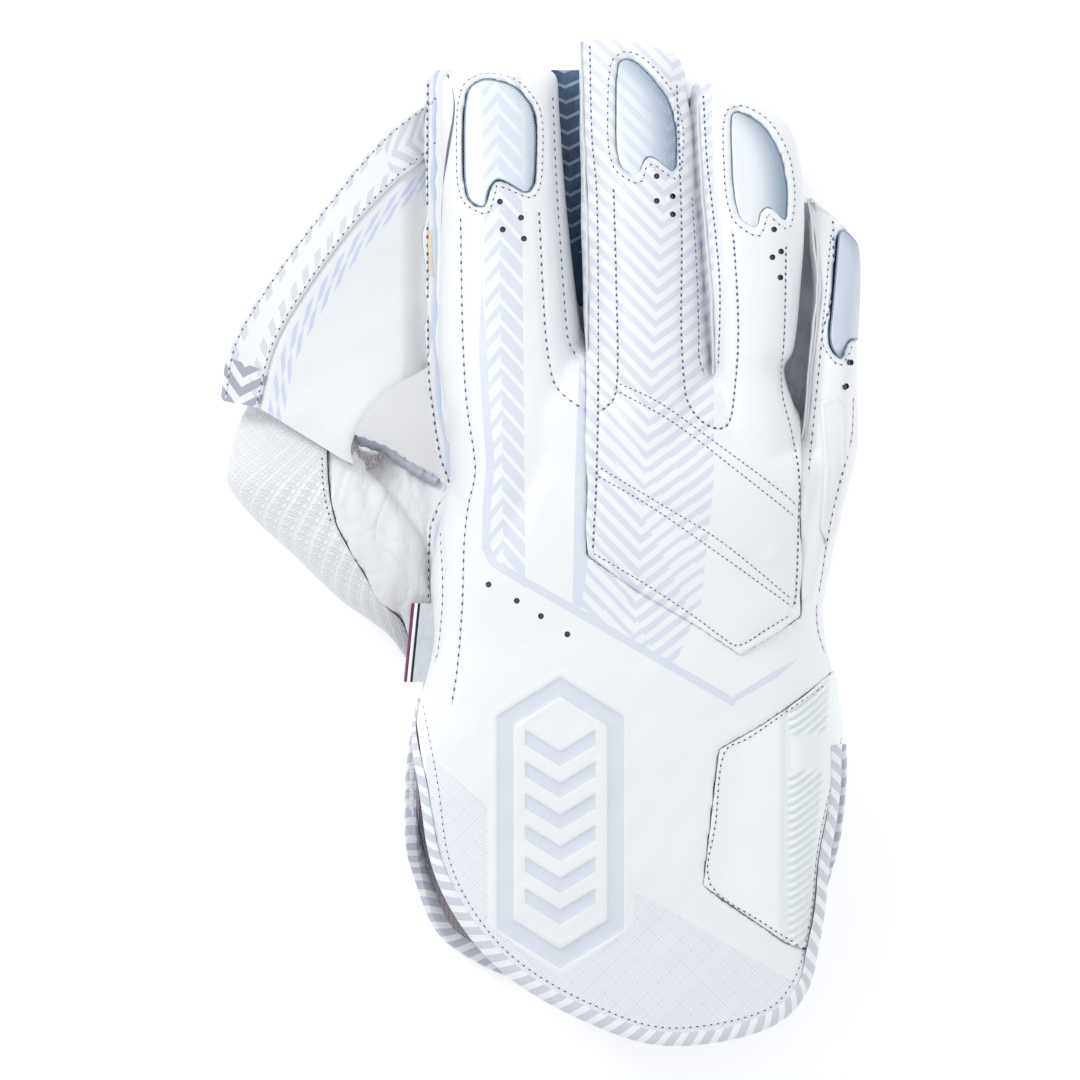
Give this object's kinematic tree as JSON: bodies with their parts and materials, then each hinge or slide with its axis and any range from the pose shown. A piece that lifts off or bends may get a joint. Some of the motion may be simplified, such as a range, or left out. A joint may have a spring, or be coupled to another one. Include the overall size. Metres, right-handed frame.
{
  "type": "wicketkeeping glove",
  "caption": "Padded right-hand leather glove with finger stalls, a rubber-faced palm and thumb, a catching web, moulded tip guards and an open cuff with bound flaps.",
  "frame": {"origin": "on the surface that the glove rests on, under the middle of its bounding box", "axes": "+Y from the cuff to the fingertips, +X from the thumb to the little finger, +Z out of the back of the hand"},
  "size_m": [0.2048, 0.3211, 0.0631],
  "materials": {
    "white_leather": "smooth",
    "palm_rubber": "textured",
    "ice_blue_guard": "glossy",
    "web_leather": "smooth",
    "grey_blue_binding": "creased",
    "raw_edge_leather": "raw edge",
    "gloss_insert": "glossy",
    "moulded_strip": "satin",
    "striped_binding": "woven",
    "knitted_lining": "knitted",
    "silver_tape": "woven metallic"
  },
  "bodies": {
    "root": {"back_panel": "white_leather", "flex_panel": "white_leather", "palm_panel": "palm_rubber", "index_tip_guard": "ice_blue_guard", "middle_tip_guard": "ice_blue_guard", "ring_tip_guard": "ice_blue_guard", "little_tip_guard": "ice_blue_guard", "thumb_back": "white_leather", "thumb_face": "palm_rubber", "web_panel": "web_leather", "web_band": "web_leather", "crotch_binding": "grey_blue_binding", "index_seam": "raw_edge_leather", "side_panel": "gloss_insert", "little_side_strip": "moulded_strip", "back_binding": "striped_binding", "palm_binding": "striped_binding", "cuff_lining": "knitted_lining", "label_tab": "silver_tape"}
  },
  "joints": []
}
